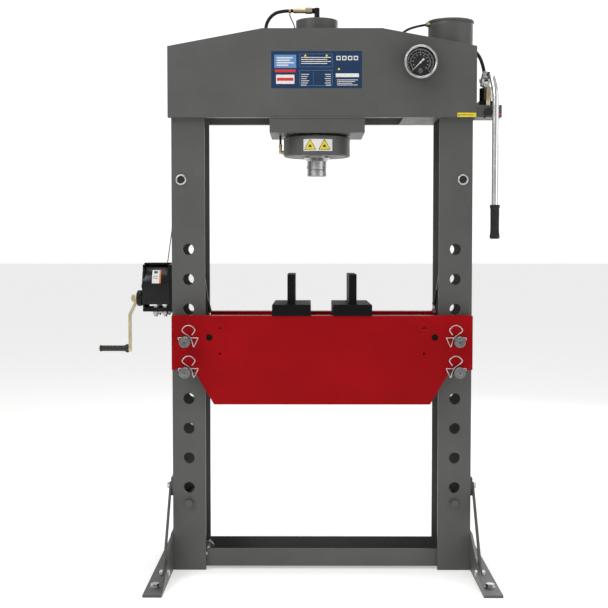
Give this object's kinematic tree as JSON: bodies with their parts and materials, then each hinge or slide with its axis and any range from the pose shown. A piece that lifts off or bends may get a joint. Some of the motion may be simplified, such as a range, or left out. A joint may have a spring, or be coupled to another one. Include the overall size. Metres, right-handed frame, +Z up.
{
  "type": "hydraulic shop press",
  "caption": "Floor-standing H-frame hydraulic shop press with hand pump, gauge, pinned bed, winch lift and two press blocks.",
  "frame": {"origin": "on the floor, midway between the two uprights and between the front and rear feet", "axes": "+Z up; +X to the operator's right; the operator stands on the -Y side"},
  "size_m": [1.341, 0.83, 1.897],
  "materials": {
    "frame_paint": "satin dark grey enamel",
    "bed_paint": "satin red enamel",
    "black_paint": "satin black enamel",
    "zinc": "yellow-zinc plate",
    "bright_steel": "turned bright steel",
    "chrome": "hard chrome",
    "wire_rope": "galvanised strand",
    "hose_rubber": "matt black",
    "plastic": "matt black",
    "dial": "matt black",
    "pointer_white": "matt white",
    "glass": "clear"
  },
  "bodies": {
    "frame": {"left_upright": "frame_paint", "right_upright": "frame_paint", "beam_front_plate": "frame_paint", "beam_rear_plate": "frame_paint", "beam_stiffeners": "frame_paint", "head_mount_plate": "frame_paint", "base_crossmember": "frame_paint", "left_foot": "frame_paint", "right_foot": "frame_paint", "foot_braces": "frame_paint", "frame_bolts": "zinc", "cylinder_barrel": "frame_paint", "cylinder_collar": "frame_paint", "rod_wiper": "hose_rubber", "oil_tank": "frame_paint", "tank_lid": "frame_paint", "pump_block": "frame_paint", "pump_cylinder": "black_paint", "pressure_hose": "hose_rubber", "return_hose": "hose_rubber", "gauge_line": "hose_rubber", "hose_fittings": "zinc", "gauge_case": "black_paint", "gauge_bezel": "black_paint", "gauge_dial": "dial", "gauge_glass": "glass", "pulley_axles": "bright_steel", "winch_rope": "wire_rope", "level_rope": "wire_rope", "rope_ends": "zinc", "bed_front_plate": "bed_paint", "bed_rear_plate": "bed_paint", "bed_spacers": "bed_paint", "winch_frame": "black_paint", "winch_cover": "black_paint"},
    "ram": {"piston": "bright_steel", "piston_rod": "chrome", "ram_nose": "bright_steel", "nose_cap": "bright_steel"},
    "lever": {"pump_lever": "zinc", "handle_tube": "chrome", "handle_grip": "hose_rubber"},
    "plunger": {"pump_plunger": "chrome"},
    "valve": {"release_valve": "plastic"},
    "drum": {"winch_drum": "bright_steel"},
    "crank": {"winch_pinion_shaft": "zinc", "crank_arm": "zinc"},
    "grip": {"crank_grip": "plastic"},
    "left_wheel": {"left_pulley": "bright_steel"},
    "right_wheel": {"right_pulley": "bright_steel"},
    "left_sheave": {"left_base_sheave": "bright_steel"},
    "right_sheave": {"right_base_sheave": "bright_steel"},
    "pointer": {"gauge_pointer": "pointer_white"},
    "plug": {"filler_plug": "bright_steel"},
    "left_block": {"left_press_block": "black_paint"},
    "right_block": {"right_press_block": "black_paint"},
    "left_upper_pin": {"left_upper_bed_pin": "bright_steel"},
    "left_lower_pin": {"left_lower_bed_pin": "bright_steel"},
    "right_upper_pin": {"right_upper_bed_pin": "bright_steel"},
    "right_lower_pin": {"right_lower_bed_pin": "bright_steel"}
  },
  "joints": [
    {"name": "ram_travel", "type": "slide", "parent": "frame", "child": "ram", "axis": [0, 0, -1], "range_m": [0, 0.25]},
    {"name": "lever_stroke", "type": "hinge", "parent": "frame", "child": "lever", "pos_m": [0.544, -0.05696, 1.642], "axis": [-1, 0, 0], "range_deg": [0, 75]},
    {"name": "plunger_stroke", "type": "slide", "parent": "frame", "child": "plunger", "axis": [0, 0, 1], "range_m": [0, 0.03]},
    {"name": "release_turn", "type": "hinge", "parent": "frame", "child": "valve", "pos_m": [0.545, -0.13, 1.53], "axis": [0, 1, 0], "range_deg": [0, 180]},
    {"name": "drum_spin", "type": "hinge", "parent": "frame", "child": "drum", "pos_m": [-0.545, -0.031, 0.955], "axis": [1, 0, 0], "continuous": true},
    {"name": "crank_spin", "type": "hinge", "parent": "frame", "child": "crank", "pos_m": [-0.6, -0.07154, 0.916], "axis": [1, 0, 0], "continuous": true},
    {"name": "grip_spin", "type": "hinge", "parent": "crank", "child": "grip", "pos_m": [-0.7, -0.07154, 0.747], "axis": [1, 0, 0], "continuous": true},
    {"name": "left_pulley_spin", "type": "hinge", "parent": "frame", "child": "left_wheel", "pos_m": [-0.468, 0, 1.311], "axis": [0, 1, 0], "continuous": true},
    {"name": "right_pulley_spin", "type": "hinge", "parent": "frame", "child": "right_wheel", "pos_m": [0.468, 0, 1.311], "axis": [0, 1, 0], "continuous": true},
    {"name": "left_sheave_spin", "type": "hinge", "parent": "frame", "child": "left_sheave", "pos_m": [-0.392, 0, 0.052], "axis": [0, 1, 0], "continuous": true},
    {"name": "right_sheave_spin", "type": "hinge", "parent": "frame", "child": "right_sheave", "pos_m": [0.468, 0, 0.052], "axis": [0, 1, 0], "continuous": true},
    {"name": "pointer_turn", "type": "hinge", "parent": "frame", "child": "pointer", "pos_m": [0.32, -0.159, 1.688], "axis": [0, 1, 0], "range_deg": [0, 270], "stiffness_Nm_per_rad": 0.003, "springref_deg": -17.19},
    {"name": "plug_pull", "type": "slide", "parent": "frame", "child": "plug", "axis": [0, 0, 1], "range_m": [0, 0.04]},
    {"name": "left_block_slide", "type": "slide", "parent": "frame", "child": "left_block", "axis": [-1, 0, 0], "range_m": [-0.03, 0.185]},
    {"name": "right_block_slide", "type": "slide", "parent": "frame", "child": "right_block", "axis": [1, 0, 0], "range_m": [-0.03, 0.185]},
    {"name": "left_upper_pin_pull", "type": "slide", "parent": "frame", "child": "left_upper_pin", "axis": [0, -1, 0], "range_m": [0, 0.44]},
    {"name": "left_lower_pin_pull", "type": "slide", "parent": "frame", "child": "left_lower_pin", "axis": [0, -1, 0], "range_m": [0, 0.44]},
    {"name": "right_upper_pin_pull", "type": "slide", "parent": "frame", "child": "right_upper_pin", "axis": [0, -1, 0], "range_m": [0, 0.44]},
    {"name": "right_lower_pin_pull", "type": "slide", "parent": "frame", "child": "right_lower_pin", "axis": [0, -1, 0], "range_m": [0, 0.44]}
  ],
  "couplings": [
    {"joint": "plunger_stroke", "follows": "lever_stroke", "m_per_rad": 0.02232},
    {"joint": "crank_spin", "follows": "drum_spin", "ratio": -3.1667},
    {"joint": "left_pulley_spin", "follows": "drum_spin", "ratio": 1.55},
    {"joint": "right_pulley_spin", "follows": "drum_spin", "ratio": -1.55},
    {"joint": "left_sheave_spin", "follows": "drum_spin", "ratio": -1.55},
    {"joint": "right_sheave_spin", "follows": "drum_spin", "ratio": -1.55}
  ]
}
